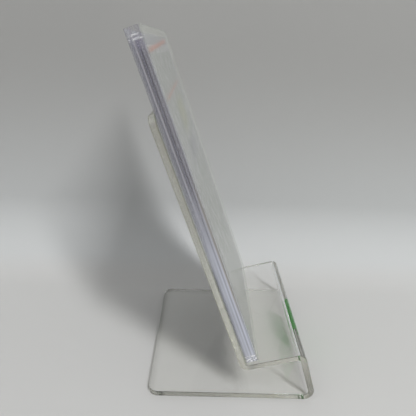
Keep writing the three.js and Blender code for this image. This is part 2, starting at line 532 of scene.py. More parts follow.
@dataclass(frozen=True)
class CoverFinish(SheetFinish):
    """Cover sheet with faint printed bands of colour across it.

    Attributes:
        bottom: The height of the cover's lower edge.
        near: The width at which the cover starts.
        bands: The bands.
        end_soft: How soft their ends are.
        drift_scale: The scale of the drift in their edges.
    """

    bottom: float = 0.0
    near: float = 0.0
    bands: tuple[PrintedBand, ...] = (
        PrintedBand(146.6, 0.056, 0.9, 2.0, 72.0, (0.72, 0.45, 0.38), 0.24),
        PrintedBand(128.2, 0.034, 0.6, 5.0, 68.0, (0.72, 0.50, 0.44), 0.22),
        PrintedBand(113.0, 0.10, 7.0, 30.0, 56.0, (0.66, 0.68, 0.52), 0.10, 4.0),
        PrintedBand(98.0, 0.08, 4.0, 24.0, 54.0, (0.52, 0.52, 0.54), 0.10, 3.0),
    )
    end_soft: float = 5 * MM
    drift_scale: float = 60.0

    def dress(self) -> bpy.types.Material:
        """Makes the material, with its bands placed by height up the cover.

        Returns:
            The material.
        """
        graph = Graph(self.name)
        where = graph.object_place(AXES.turn(), (0.0, -self.near, -self.bottom))
        _, across, up = graph.parts(where)
        drift = graph.noise(where, self.drift_scale) * MM - 0.5 * MM
        colour = self.colour(graph, where)
        print_share: Wire | float = 0.0
        for band in self.bands:
            height = up - across * band.rise + drift
            inked = graph.band(height, (band.height - band.half) * MM,
                               (band.height + band.half) * MM, band.soft * MM)
            patch = inked * graph.band(across, band.near * MM, band.far * MM, self.end_soft)
            colour = graph.blend(patch, colour, band.ink)
            print_share = patch * band.strength + print_share
        return self.finish(graph, colour, where, print_share)


@dataclass(frozen=True)
class SpineFinish(SheetFinish):
    """Cover sheet that is frosted along the spine, streaked by the leaves behind it and
    crimped at both of its ends. Its top is a darker grey as painted shade, its bottom
    paler as painted light, and its crimps carry painted glints.

    Attributes:
        start: Depth, width and height at which the album begins.
        thickness: Depth from the back cover's outer face to the front cover.
        upper_streaks: How frosted the top of the spine is, by share of that depth.
        lower_streaks: The same for its bottom, more frosted there as painted light coming in at
            the bottom.
        change: The heights between which the bottom's streaks turn into the top's.
        width: From which width to which the spine ends and the back cover starts.
        line_scale: The scale of the fine lines in the frost.
        line_draw: How drawn out they are along the spine.
        line_strength: How strongly they show.
        painted_top_shade: The darker grey of the frost at the top, painted shade.
        brown: The colour that paper edges lend it beside the front cover.
        paper_depth: Between which shares of the depth those begin.
        paper_height: The heights between which they show, and how softly they end.
        paper_share: How strongly they show.
        crimps: The heights of the rows of crimps, in millimetres.
        dent_scale: The scale of the dents in them.
        dent_depth: The depth of the dents, in units of the sheet's relief.
        painted_glint: The near-white of the glints painted onto the crimps, a painted highlight.
        glint_range: Between which heights of a dent the painted glint shows.
    """

    start: Vector = Vector((0, 0, 0))
    thickness: float = 6 * MM
    upper_streaks: tuple[Span, ...] = (
        (0.0, 0.50), (0.13, 0.30), (0.26, 0.10), (0.36, 0.85), (0.46, 0.24), (0.62, 0.14),
        (0.76, 0.40), (0.88, 0.36), (1.0, 0.60))
    lower_streaks: tuple[Span, ...] = (
        (0.0, 0.20), (0.13, 0.34), (0.26, 0.62), (0.38, 0.52), (0.50, 0.80), (0.62, 0.44),
        (0.75, 0.88), (0.86, 0.60), (1.0, 0.40))
    change: Span = (42 * MM, 112 * MM)
    width: Span = (1.0 * MM, 1.8 * MM)
    line_scale: float = 1500.0
    line_draw: float = 0.03
    line_strength: float = 0.3
    painted_top_shade: Colour = (0.43, 0.42, 0.46)
    brown: Colour = (0.50, 0.46, 0.38)
    paper_depth: Span = (0.76, 0.86)
    paper_height: tuple[float, float, float] = (30 * MM, 92 * MM, 12 * MM)
    paper_share: float = 0.7
    crimps: tuple[Span, ...] = ((0.2, 2.2), (2.9, 3.7), (151.3, 152.1), (152.8, 153.4))
    dent_scale: float = 900.0
    dent_depth: float = 30.0
    painted_glint: Colour = (0.95, 0.95, 0.97)
    glint_range: Span = (0.44, 0.58)

    def dress(self) -> bpy.types.Material:
        """Makes the material: frost and streaks with painted shade at the top and painted light
        at the bottom, then paper edges, then crimps with painted glints.

        Returns:
            The material.
        """
        graph = Graph(self.name)
        where = graph.object_place(AXES.turn(), tuple(-c for c in self.start))
        depth, across, up = graph.parts(where)
        spine = 1.0 - graph.smooth_step(across, *self.width)
        low = 1.0 - graph.smooth_step(up, *self.change)
        share = depth / self.thickness
        upper, lower = (self._ramp(graph, share, streaks)
                        for streaks in (self.upper_streaks, self.lower_streaks))
        drawn_out = graph.node("ShaderNodeCombineXYZ", {},
                               {0: depth, 2: up * self.line_draw})[0]
        lines = graph.noise(drawn_out, self.line_scale)
        # Painted light: the bottom's streaks are more frosted, so the spine's bottom is paler.
        frost = upper + (lower - upper) * low + (lines - 0.5) * self.line_strength
        # Painted shade: the frost turns a darker grey towards the spine's top.
        colour = graph.blend(spine * (1.0 - low), self.colour(graph, where), self.painted_top_shade)
        paper = graph.smooth_step(share, *self.paper_depth) * graph.band(
            up, *self.paper_height)
        colour = graph.blend(spine * paper * self.paper_share, colour, self.brown)
        crimped = spine * self._crimps(graph, up)
        dents = graph.noise(graph.object_place(scale=(1, 1, 2)), self.dent_scale, 1.0)
        # Painted highlight: near-white glints on the crimps' dents, which are also milkier
        # there.
        glint_mask = graph.smooth_step(dents, *self.glint_range)
        colour = graph.blend(glint_mask * crimped, colour, self.painted_glint)
        milk = spine * (frost - self.facing) + crimped * (glint_mask * 0.7 - 0.2)
        return self.finish(graph, colour, where, milk, crimped * dents * self.dent_depth)

    def _ramp(self, graph: Graph, share: Wire, streaks: tuple[Span, ...]) -> Wire:
        """How frosted the spine is, by share of its depth."""
        stops = [(place, (light,) * 3) for place, light in streaks]
        return graph.node("ShaderNodeValToRGB", {"stops": stops}, {0: share})[0]

    def _crimps(self, graph: Graph, up: Wire) -> Wire | float:
        """Marks the rows where the sheets are pressed together.

        Args:
            graph: The material's nodes.
            up: Height up the spine.

        Returns:
            A mask of the rows.
        """
        mask: Wire | float = 0.0
        for low, high in self.crimps:
            mask = graph.band(up, low * MM, high * MM, 0.2 * MM) + mask
        return mask


@dataclass(frozen=True)
class PrintFinish:
    """A photo print: a plain view with a white border, and a plain back.

    Attributes:
        number: Which print it is.
        low: Its lowest depth, width and height.
        high: Its highest.
        sky: The sky's colour.
        ground: The nearest ridge's colour.
        border: The width of the white border.
        white: Its colour.
        ridges: Level, roughness and nearness of each ridge, from the far one.
        ridge_height: How high a ridge rises and falls.
        paper: The darkest and the lightest colour of the back.
    """

    number: int
    low: Vector
    high: Vector
    sky: Colour
    ground: Colour
    border: float = 3.5 * MM
    white: Colour = (0.86, 0.86, 0.85)
    ridges: tuple[tuple[float, float, float], ...] = (
        (0.62, 20.0, 0.35), (0.46, 34.0, 0.70), (0.26, 48.0, 1.0))
    ridge_height: float = 0.22
    paper: tuple[Colour, Colour] = ((0.74, 0.74, 0.76), (0.84, 0.84, 0.86))

    def picture(self) -> bpy.types.Material:
        """Makes the side with the picture: sky, three ridges and their haze.

        Returns:
            The material.
        """
        graph = Graph(f"print_{self.number}_picture")
        where = graph.object_place(AXES.turn(), (0.0, -self.low.y, -self.low.z))
        _, across, up = graph.parts(where)
        size = self.high - self.low
        tall = up / size.z
        pale = tuple(0.6 + 0.4 * c for c in self.sky)
        colour = graph.blend(graph.smooth_step(tall, 0.35, 1.0), pale, self.sky)
        along = graph.node("ShaderNodeCombineXYZ", {}, {0: across, 1: self.number * 0.37})[0]
        for level, rough, near in self.ridges:
            shape = graph.noise(along, rough, 4.0, 0.55) * self.ridge_height
            ridge = shape + (level - self.ridge_height / 2)
            tone = tuple(g * near + s * (1 - near) for g, s in zip(self.ground, self.sky))
            colour = graph.blend(graph.smooth_step(ridge - tall, 0.0, 0.02), colour, tone)
        inside = graph.band(across, self.border, size.y - self.border, 0.05 * MM) * graph.band(
            up, self.border, size.z - self.border, 0.05 * MM)
        colour = graph.blend(inside, self.white, colour)
        gloss = graph.noise(where, 220.0)
        return graph.finish(graph.solid(colour, 0.22 + gloss * 0.1,
                                        graph.bump(gloss, 0.01 * MM, 0.4)))

    def back(self) -> bpy.types.Material:
        """The back and the cut edges: resin coated paper."""
        graph = Graph(f"print_{self.number}_paper")
        fibre = graph.noise(graph.object_place(AXES.turn()), 900.0, 4.0, 0.7)
        return graph.finish(graph.solid(graph.blend(fibre, *self.paper), 0.55,
                                        graph.bump(fibre, 0.02 * MM, 0.5)))


@dataclass(frozen=True)
class LabelFinish:
    """Plain green vinyl, thin enough for a lamp to shine through it."""

    colour: Colour = (0.03, 0.62, 0.02)
    let_through: Colour = (0.70, 0.80, 0.70)
    grain_scale: float = 1800.0

    def dress(self) -> bpy.types.Material:
        """Makes the material.

        Returns:
            The material, whose shadow is a green glow.
        """
        graph = Graph("label_vinyl")
        grain = graph.noise(graph.object_place(), self.grain_scale, 3.0, 0.6)
        vinyl = graph.solid(graph.blend(grain, shade(self.colour, 0.82), self.colour),
                            0.34 + grain * 0.12, graph.bump(grain, 0.01 * MM, 0.5))
        shadow = graph.node("ShaderNodeLightPath")["Is Shadow Ray"]
        return graph.finish(graph.mix(shadow, vinyl, graph.see_through(self.let_through)))


@dataclass(frozen=True)
class SweepPaper:
    """Pale paper that is darker up the wall as painted shade, and clear from behind.

    Attributes:
        colours: Its colour on the floor, at the wall's foot and up the wall, the last darker as
            painted shade.
        foot: The heights between which the floor's colour turns into the foot's.
        wall: The heights between which the foot's colour turns into the wall's.
    """

    colours: tuple[Colour, Colour, Colour] = (
        (0.605, 0.605, 0.595), (0.615, 0.63, 0.63), (0.41, 0.41, 0.40))
    foot: Span = (0.0, 0.012)
    wall: Span = (0.02, 0.17)

    def dress(self) -> bpy.types.Material:
        """Makes the material.

        Returns:
            The material, which doesn't hide the object from the rear.
        """
        graph = Graph("sweep_paper")
        where = graph.object_place()
        _, _, rise = graph.parts(where)
        floor, foot, wall = self.colours
        colour = graph.blend(graph.smooth_step(rise, *self.foot), floor, foot)
        # Painted shade: the paper turns darker up the wall.
        colour = graph.blend(graph.smooth_step(rise, *self.wall), colour, wall)
        tooth = graph.bump(graph.noise(where, 700.0), 0.02 * MM, 0.3)
        behind = graph.node("ShaderNodeNewGeometry")["Backfacing"]
        return graph.finish(graph.mix(behind, graph.solid(colour, 0.85, tooth),
                                      graph.see_through()))


# ------------------------------------------------------------------ sheets and folds


@dataclass(frozen=True)
class Fold:
    """A fold of a sheet: how far it turns, to the left if positive, and how tightly."""

    degrees: float
    inner_radius: float


@dataclass(frozen=True)
class Station:
    """A place on a folded sheet's middle line."""

    u: float
    v: float
    heading: float


class FoldedLine:
    """The middle line of a sheet with straight legs and round folds, in a plane."""

    def __init__(self, start: tuple[float, float], heading: float, legs: Sequence[float],
                 thickness: float, folds: Sequence[Fold] = ()) -> None:
        """Works out where each straight and each round stretch begins.

        Args:
            start: Where the line starts.
            heading: Its first direction, in degrees.
            legs: Lengths between corners, as if the folds were sharp.
            thickness: The sheet's thickness.
            folds: The fold after each leg but the last.
        """
        self.stretches: list[tuple[float, float, Station, float]] = []
        self.length = 0.0
        here = Station(start[0], start[1], math.radians(heading))
        taken = 0.0
        for index, leg in enumerate(legs):
            fold = folds[index] if index < len(folds) else None
            turn = math.radians(fold.degrees) if fold else 0.0
            radius = fold.inner_radius + thickness / 2 if fold else 0.0
            setback = radius * math.tan(abs(turn) / 2)
            here = self._add(here, leg - taken - setback, 0.0)
            if fold:
                here = self._add(here, radius * abs(turn), math.copysign(1 / radius, turn))
            taken = setback

    def _add(self, start: Station, length: float, curve: float) -> Station:
        """Adds a stretch.

        Args:
            start: Where it starts.
            length: Its length.
            curve: One over its radius, or 0 if it is straight.

        Returns:
            Where it ends.
        """
        self.stretches.append((self.length, length, start, curve))
        self.length += length
        return self._along(start, length, curve)

    @staticmethod
    def _along(start: Station, s: float, curve: float) -> Station:
        """Follows a stretch.

        Args:
            start: Where it starts.
            s: How far to follow it.
            curve: One over its radius, or 0 if it is straight.

        Returns:
            The station there.
        """
        if not curve:
            return Station(start.u + s * math.cos(start.heading),
                           start.v + s * math.sin(start.heading), start.heading)
        heading = start.heading + s * curve
        return Station(start.u + (math.sin(heading) - math.sin(start.heading)) / curve,
                       start.v - (math.cos(heading) - math.cos(start.heading)) / curve,
                       heading)

    def at(self, s: float) -> Station:
        """The station at a distance from the line's start."""
        begin, _, start, curve = next(
            (one for one in reversed(self.stretches) if s >= one[0]), self.stretches[0])
        return self._along(start, s - begin, curve)

    def fold_cuts(self) -> list[float]:
        """Distances at which a flat sheet is cut across, so that it can fold."""
        return [begin + length * k / FOLD_STEPS for begin, length, _, curve
                in self.stretches if curve for k in range(FOLD_STEPS + 1)]

    def even_cuts(self, steps: int) -> tuple[float, ...]:
        """Distances that cut the line into equal steps, for a sheet that bends."""
        return tuple(self.length * k / steps for k in range(1, steps))


@dataclass(frozen=True)
class SheetPart:
    """A sheet cut flat with round corners, softened along its rims, then folded.

    Attributes:
        name: The piece's name.
        line: The middle line that the sheet follows.
        across: Lowest and highest place along the fold lines.
        thickness: The sheet's thickness.
        place: Takes a place in the line's plane, and one across it, into the model.
        start_radius: Corner radius at the line's start.
        end_radius: Corner radius at its end.
        soften: How far the rims are rounded off.
        rim_steps: How many steps the softened rim has.
        extra_cuts: Further cuts, for a piece that bends between two bodies.
    """

    name: str
    line: FoldedLine
    across: Span
    thickness: float
    place: Callable[[float, float, float], Vector]
    start_radius: float = 0.0
    end_radius: float = 0.0
    soften: float = 0.0
    rim_steps: int = 3
    extra_cuts: tuple[float, ...] = ()

    def build(self, materials: Sequence[bpy.types.Material],
              choose: Callable[[bmesh.types.BMFace], int] | None = None) -> bpy.types.Object:
        """Makes the piece.

        Args:
            materials: Its materials.
            choose: Picks the material of a face of the flat sheet, where x runs along
                the sheet, y across it and z through it.

        Returns:
            The piece.
        """
        mesh = bmesh.new()
        self._cut_out(mesh)
        self._soften_rims(mesh)
        if choose:
            mesh.normal_update()
            for face in mesh.faces:
                face.material_index = choose(face)
        for s in (*self.line.fold_cuts(), *self.extra_cuts):
            bmesh.ops.bisect_plane(mesh, geom=[*mesh.verts, *mesh.edges, *mesh.faces],
                                   dist=1e-9, plane_co=(s, 0, 0), plane_no=(1, 0, 0))
        for vertex in mesh.verts:
            s, y, t = vertex.co
            station = self.line.at(s)
            u = station.u - t * math.sin(station.heading)
            v = station.v + t * math.cos(station.heading)
            vertex.co = self.place(u, v, y)
        bmesh.ops.recalc_face_normals(mesh, faces=mesh.faces)
        return piece_from(self.name, mesh, materials)

    def _outline(self) -> list[tuple[float, float]]:
        """Draws the flat sheet's outline, with its corners as arcs.

        Returns:
            The outline's points, in order round it.
        """
        low, high = self.across
        end = self.line.length
        points = []
        for x, y, radius, begin in ((0.0, low, self.start_radius, 180),
                                    (end, low, self.end_radius, 270),
                                    (end, high, self.end_radius, 0),
                                    (0.0, high, self.start_radius, 90)):
            if not radius:
                points.append((x, y))
                continue
            cx = x + math.copysign(radius, end / 2 - x)
            cy = y + math.copysign(radius, (low + high) / 2 - y)
            for k in range(CORNER_STEPS + 1):
                angle = math.radians(begin + 90 * k / CORNER_STEPS)
                points.append((cx + radius * math.cos(angle), cy + radius * math.sin(angle)))
        return points

    def _cut_out(self, mesh: bmesh.types.BMesh) -> None:
        """Extrudes the outline to the sheet's thickness.

        Args:
            mesh: The empty mesh that it goes into.
        """
        half = self.thickness / 2
        face = mesh.faces.new([mesh.verts.new((x, y, -half)) for x, y in self._outline()])
        grown = bmesh.ops.extrude_face_region(mesh, geom=[face])
        moved = [g for g in grown["geom"] if isinstance(g, bmesh.types.BMVert)]
        bmesh.ops.translate(mesh, verts=moved, vec=(0, 0, self.thickness))
        bmesh.ops.recalc_face_normals(mesh, faces=mesh.faces)

    def _soften_rims(self, mesh: bmesh.types.BMesh) -> None:
        """Rounds off the edges between the faces and the cut edge.

        Args:
            mesh: The flat sheet.
        """
        if not self.soften:
            return
        rims = [e for e in mesh.edges
                if abs(e.verts[0].co.z - e.verts[1].co.z) < self.thickness / 2]
        bmesh.ops.bevel(mesh, geom=rims, offset=self.soften, offset_type="OFFSET",
                        segments=self.rim_steps, profile=0.5, affect="EDGES",
                        clamp_overlap=True)


def add_object(name: str, data: Any) -> bpy.types.Object:
    """A new object in the scene, at the world's origin."""
    made = bpy.data.objects.new(name, data)
    bpy.context.scene.collection.objects.link(made)
    return made


def piece_from(name: str, mesh: bmesh.types.BMesh,
               materials: Sequence[bpy.types.Material]) -> bpy.types.Object:
    """Turns a bmesh into a smooth-shaded piece whose broad faces stay flat.

    Args:
        name: The piece's name.
        mesh: Its shape, in the model's frame. It is freed.
        materials: Its materials.

    Returns:
        The piece.
    """
    if mesh.calc_volume(signed=True) < 0:
        bmesh.ops.reverse_faces(mesh, faces=mesh.faces)
    data = bpy.data.meshes.new(name)
    mesh.to_mesh(data)
    mesh.free()
    for material in materials:
        data.materials.append(material)
    data.shade_smooth()
    data.set_sharp_from_angle(angle=math.radians(SHARP_ANGLE))
    piece = add_object(name, data)
    piece.modifiers.new("even shading", "WEIGHTED_NORMAL").keep_sharp = True
    return piece


def hand_over(piece: bpy.types.Object, body: str | tuple[str, str],
              stands_for: Sequence[str] = (),
              between: tuple[Vector, Vector] | None = None) -> bpy.types.Object:
    """Attaches a piece to the body that it rides on and hides the CAD nodes that it stands for;
    a piece between two bodies is only fixed where it is.

    Args:
        piece: The finished piece.
        body: The body that it rides on, or the two that it lies between; a pair is not used.
        stands_for: CAD nodes that it replaces.
        between: Where the bending starts and ends, for a piece on two bodies; not used.

    Returns:
        The piece.
    """
    if between:
        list(body)
        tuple(between[0])
        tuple(between[1])
        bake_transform(piece)
    else:
        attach(piece, body)
    if stands_for:
        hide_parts(*stands_for)
    LOG.info("%s on %s, %d faces", piece.name, body, len(piece.data.polygons))
    return piece


# ------------------------------------------------------------------ the stand


@dataclass
class AcrylicStand:
    """One clear sheet with three heat bends: base, riser, ledge and back rest."""

    thickness: float = 3 * MM
    base_length: float = 83.2 * MM
    riser_length: float = 26.5 * MM
    ledge_length: float = 28.9 * MM
    rest_length: float = 128 * MM
    riser_lean: float = 17.3
    ledge_slope: float = 16.0
    rest_lean: float = 20.0
    foot_bend: float = 2 * MM
    upper_bend: float = 1.2 * MM
    corner_radius: float = 5 * MM
    rim: float = 0.35 * MM

    def line(self) -> FoldedLine:
        """Draws the sheet's middle line in the side view.

        Returns:
            The line, from the base's rear edge to the top of the rest.
        """
        low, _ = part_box("stand_sheet")
        riser = 90 + self.riser_lean
        ledge = 180 + self.ledge_slope
        rest = 90 + self.rest_lean
        folds = (Fold(riser, self.foot_bend), Fold(ledge - riser, self.upper_bend),
                 Fold(rest - ledge, self.upper_bend))
        legs = (self.base_length, self.riser_length, self.ledge_length, self.rest_length)
        return FoldedLine((low.x, low.z + self.thickness / 2), 0.0, legs, self.thickness,
                          folds)

    def build(self, face: AcrylicFinish, edge: AcrylicFinish) -> bpy.types.Object:
        """Makes the sheet.

        Args:
            face: The finish of its faces.
            edge: The duller finish of its sawn edges.

        Returns:
            The piece.
        """
        low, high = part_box("stand_sheet")
        part = SheetPart("bent_acrylic_sheet", self.line(), (low.y, high.y), self.thickness,
                         lambda u, v, y: Vector((u, y, v)), self.corner_radius,
                         self.corner_radius, self.rim)
        piece = part.build((face.dress(), edge.dress()),
                           lambda side: 1 if abs(side.normal.z) < 0.1 else 0)
        return hand_over(piece, "stand", ["stand_sheet"])


@dataclass
class RiserLabel:
    """The plain green label on the front of the riser."""

    thickness: float = 0.15 * MM
    cad_gap: float = 0.05 * MM
    wetted: float = 0.03 * MM
    corner_radius: float = 3 * MM
    rim: float = 0.03 * MM

    def build(self, riser_lean: float, finish: LabelFinish) -> bpy.types.Object:
        """Makes the label, stuck down so that no air is left behind it.

        Args:
            riser_lean: How far the riser leans back, in degrees.
            finish: The vinyl's finish.

        Returns:
            The piece.
        """
        axes = SlopeAxes.leaning(riser_lean)
        low, high = axes.extent("riser_label")
        depth = high.x - self.cad_gap - self.wetted - self.thickness / 2
        line = FoldedLine((low.z, depth), 0.0, (high.z - low.z,), self.thickness)
        part = SheetPart("riser_label_vinyl", line, (low.y, high.y), self.thickness,
                         lambda u, v, y: axes.place(v, y, u), self.corner_radius,
                         self.corner_radius, self.rim, 1)
        return hand_over(part.build((finish.dress(),)), "stand", ["riser_label"])


# ------------------------------------------------------------------ the album


@dataclass
class AlbumCovers:
    """The folded back cover and spine, the front cover and the crease between them."""

    corner_radius: float = 4 * MM
    fold_radius: float = 0.35 * MM
    rim: float = 0.1 * MM
    crease_thickness: float = 0.3 * MM
    crease_steps: int = 8
    spine_overlap: float = 0.3 * MM
    cover_overlap: float = 0.2 * MM

    def build_back(self, material: bpy.types.Material) -> bpy.types.Object:
        """Makes the back cover and the spine of one folded sheet.

        Args:
            material: The sheet's material.

        Returns:
            The piece.
        """
        back_low, back_high = AXES.extent("album_back_cover")
        spine_low, spine_high = AXES.extent("album_spine")
        thickness = spine_high.y - spine_low.y
        middle_depth = (back_low.x + back_high.x) / 2
        middle_width = (spine_low.y + spine_high.y) / 2
        line = FoldedLine((spine_high.x, middle_width), 180.0,
                          (spine_high.x - middle_depth, back_high.y - middle_width),
                          thickness, (Fold(-90, self.fold_radius),))
        part = SheetPart("folded_back_cover", line, (back_low.z, back_high.z), thickness,
                         AXES.place, 0.0, self.corner_radius, self.rim)
        return hand_over(part.build((material,)), "album",
                         ["album_back_cover", "album_spine"])

    def build_front(self, material: bpy.types.Material) -> bpy.types.Object:
        """Makes the front cover.

        Args:
            material: The sheet's material.

        Returns:
            The piece.
        """
        low, high = AXES.extent("album_front_cover")
        thickness = high.x - low.x
        line = FoldedLine(((low.x + high.x) / 2, low.y), 90.0, (high.y - low.y,), thickness)
        part = SheetPart("front_cover_sheet", line, (low.z, high.z), thickness, AXES.place,
                         0.0, self.corner_radius, self.rim)
        return hand_over(part.build((material,)), "front_cover",
                         ["album_front_cover"])

    def build_crease(self, material: bpy.types.Material) -> bpy.types.Object:
        """Makes the thin living hinge between the spine and the front cover.

        Args:
            material: The sheet's material.

        Returns:
            The piece.
        """
        spine_low, spine_high = AXES.extent("album_spine")
        low, high = AXES.extent("album_front_cover")
        middle = (spine_low.y + spine_high.y) / 2
        start = spine_high.x - self.spine_overlap
        end = low.x + self.cover_overlap
        line = FoldedLine((start, middle), 0.0, (end - start,), self.crease_thickness)
        part = SheetPart("cover_crease", line, (low.z, high.z), self.crease_thickness,
                         AXES.place, extra_cuts=line.even_cuts(self.crease_steps))
        ends = tuple(AXES.place(depth, middle, low.z) for depth in (spine_high.x, end))
        return hand_over(part.build((material,)), ("album", "front_cover"),
                         between=ends)


@dataclass
class PocketLeaf:
    """One film pocket: two films that meet at their welds, crimp ribs, hinge and print.

    Attributes:
        number: Which pocket it is, counted from the back.
        seam: The width of its welds.
        film: The thickness of its films.
        weld: How thick both are together along a weld.
        swelling: How far from a weld the films reach their full distance.
        opening_flare: How far they close up again at the open top.
        lip: The height of the part at the top that does so.
        rib_pitch: The distance from crimp rib to crimp rib.
        rib_radius: A rib's radius.
        rib_share: A rib's length as a share of the weld's width.
        hinge_film: The thickness of the bare film at the hinge.
        hinge_start: How far from the spine the hinge strip starts.
        hinge_overlap: How far it runs into the pocket.
        hinge_bend: How far past the pivot it bends.
        hinge_steps: How many steps it bends in.
        close_steps: Places across a film by a weld, in millimetres.
        even_steps: How many even steps there are between the welds.
        print_corner: A print's corner radius.
        print_rim: How far its rims are rounded off.
    """

    number: int
    seam: float = 1.5 * MM
    film: float = 0.12 * MM
    weld: float = 0.22 * MM
    swelling: float = 1.6 * MM
    opening_flare: float = 0.05 * MM
    lip: float = 0.7 * MM
    rib_pitch: float = 1.1 * MM
    rib_radius: float = 0.2 * MM
    rib_share: float = 0.8
    hinge_film: float = 0.2 * MM
    hinge_start: float = 0.05 * MM
    hinge_overlap: float = 0.3 * MM
    hinge_bend: float = 1.3 * MM
    hinge_steps: int = 12
    close_steps: tuple[float, ...] = (
        0.0, 0.5, 1.0, 1.4, 1.5, 1.54, 1.62, 1.75, 1.95, 2.2, 2.6, 3.1, 5.0)
    even_steps: int = 9
    print_corner: float = 0.6 * MM
    print_rim: float = 0.05 * MM

    def __post_init__(self) -> None:
        """Reads the pocket's place from the model."""
        self.body = f"leaf_{self.number}"
        self.low, self.high = AXES.extent(f"{self.body}_back_film")
        self.front_depth = AXES.extent(f"{self.body}_front_film")[1].x
        self.middle = (self.low.x + self.front_depth) / 2

    def _swell(self, width: float, height: float) -> float:
        """How far the films stand apart at a place.

        Args:
            width: The place's width.
            height: Its height.

        Returns:
            0 at the welds, rising to 1 over the print.
        """
        inside = min(width - self.low.y, self.high.y - width, height - self.low.z) - self.seam
        share = min(max(inside / self.swelling, 0.0), 1.0)
        return math.sqrt(1 - (1 - share) ** 2)

    def _steps(self, low: float, high: float, both: bool) -> list[float]:
        """Places across a film, close together by its welds.

        Args:
            low: Where the film starts.
            high: Where it ends.
            both: Whether it is welded at its end too.

        Returns:
            The places, in rising order.
        """
        near = [step * MM for step in self.close_steps]
        far = near[::-1] if both else [1.2 * MM, 0.6 * MM, 0.0]
        inner = [low + (high - low) * k / self.even_steps for k in range(1, self.even_steps)]
        return [low + step for step in near] + inner + [high - step for step in far]

    def _depth(self, side: int, inset: float, width: float, height: float) -> float:
        """The depth of a film at a place.

        Args:
            side: -1 for the rear film and 1 for the front one.
            inset: How far under the film's outer face the point lies.
            width: The place's width.
            height: Its height.

        Returns:
            The depth.
        """
        outer = self.front_depth if side > 0 else self.low.x
        full = abs(outer - self.middle)
        room = self.weld / 2 + (full - self.weld / 2) * self._swell(width, height)
        lift = self.opening_flare if height > self.high.z - self.lip else 0.0
        return self.middle + side * (max(room - inset, 0.01 * MM) - lift)

    def build_films(self, material: bpy.types.Material) -> bpy.types.Object:
        """Makes both films as thin closed sheets that touch along the welds.

        Args:
            material: The films' material.

        Returns:
            The piece.
        """
        widths = self._steps(self.low.y, self.high.y, True)
        heights = self._steps(self.low.z, self.high.z, False)
        mesh = bmesh.new()
        for side in (-1, 1):
            self._skin(mesh, [
                [[mesh.verts.new(AXES.place(self._depth(side, inset, w, h), w, h))
                  for w in widths] for h in heights] for inset in (0.0, self.film)])
        bmesh.ops.recalc_face_normals(mesh, faces=mesh.faces)
        piece = piece_from(f"pocket_{self.number}_films", mesh, (material,))
        nodes = [f"{self.body}_{part}" for part in (
            "back_film", "front_film", "hinge_seam", "fore_seam", "bottom_seam")]
        return hand_over(piece, self.body, nodes)

    @staticmethod
    def _skin(mesh: bmesh.types.BMesh, layers: list[list[list[bmesh.types.BMVert]]]) -> None:
        """Joins two layers of points into one closed sheet.

        Args:
            mesh: The mesh that they are in.
            layers: The rows of points of each layer.
        """
        for rows in layers:
            for lower, upper in zip(rows, rows[1:]):
                for k in range(len(lower) - 1):
                    mesh.faces.new((lower[k], lower[k + 1], upper[k + 1], upper[k]))
        outer, inner = ([*rows[0], *(row[-1] for row in rows[1:]), *rows[-1][-2::-1],
                         *(row[0] for row in rows[-2:0:-1])] for rows in layers)
        for k in range(len(outer)):
            after = (k + 1) % len(outer)
            mesh.faces.new((outer[k], outer[after], inner[after], inner[k]))

    def build_ribs(self, tree: "RibTree", material: bpy.types.Material) -> bpy.types.Object:
        """Makes the crimp ribs that the welding jaws leave along the three seams.

        Args:
            tree: The node tree that lays ribs along a seam.
            material: The ribs' material.

        Returns:
            The piece.
        """
        low, high = self.low, self.high
        half = self.seam / 2
        runs = [(Vector((self.middle, width, low.z + self.seam)),
                 Vector((self.middle, width, high.z - MM)), AXES.width)
                for width in (low.y + half, high.y - half)]
        runs.append((Vector((self.middle, low.y + MM, low.z + half)),
                     Vector((self.middle, high.y - MM, low.z + half)), AXES.height))
        made = [tree.run(AXES.place(*start), AXES.place(*end), along,
                         self.seam * self.rib_share, self.rib_radius, self.rib_pitch,
                         material)
                for start, end, along in runs]
        piece = join(f"pocket_{self.number}_weld_ribs", made)
        return hand_over(piece, self.body)

    def build_hinge(self, material: bpy.types.Material) -> bpy.types.Object:
        """Makes the bare film that bends between the spine and the pocket.

        Args:
            material: The film's material.

        Returns:
            The piece.
        """
        low, high = self.low, self.high
        pivot = Vector(joint_named(f"{self.body}_hinge")["pos_m"])
        start = AXES.extent("album_spine")[1].y + self.hinge_start
        end = low.y + self.hinge_overlap
        line = FoldedLine((self.middle, start), 90.0, (end - start,), self.hinge_film)
        part = SheetPart(f"pocket_{self.number}_hinge", line, (low.z, high.z),
                         self.hinge_film, AXES.place,
                         extra_cuts=line.even_cuts(self.hinge_steps))
        ends = tuple(AXES.place(self.middle, width, low.z)
                     for width in (pivot.y, pivot.y + self.hinge_bend))
        return hand_over(part.build((material,)), ("album", self.body),
                         between=ends)

    def build_print(self, sky: Colour, ground: Colour) -> bpy.types.Object:
        """Makes the print, with its picture on the front.

        Args:
            sky: The colour of the picture's sky.
            ground: The colour of its nearest ridge.

        Returns:
            The piece.
        """
        node = f"{self.body}_print"
        low, high = AXES.extent(node)
        thickness = high.x - low.x
        finish = PrintFinish(self.number, low, high, sky, ground)
        line = FoldedLine(((low.x + high.x) / 2, low.y), 90.0, (high.y - low.y,), thickness)
        part = SheetPart(f"photo_print_{self.number}", line, (low.z, high.z), thickness,
                         AXES.place, self.print_corner, self.print_corner, self.print_rim, 2)
        piece = part.build((finish.back(), finish.picture()),
                           lambda face: 1 if face.normal.z < -0.9 else 0)
        return hand_over(piece, f"print_{self.number}", [node])


# ------------------------------------------------------------------ geometry nodes


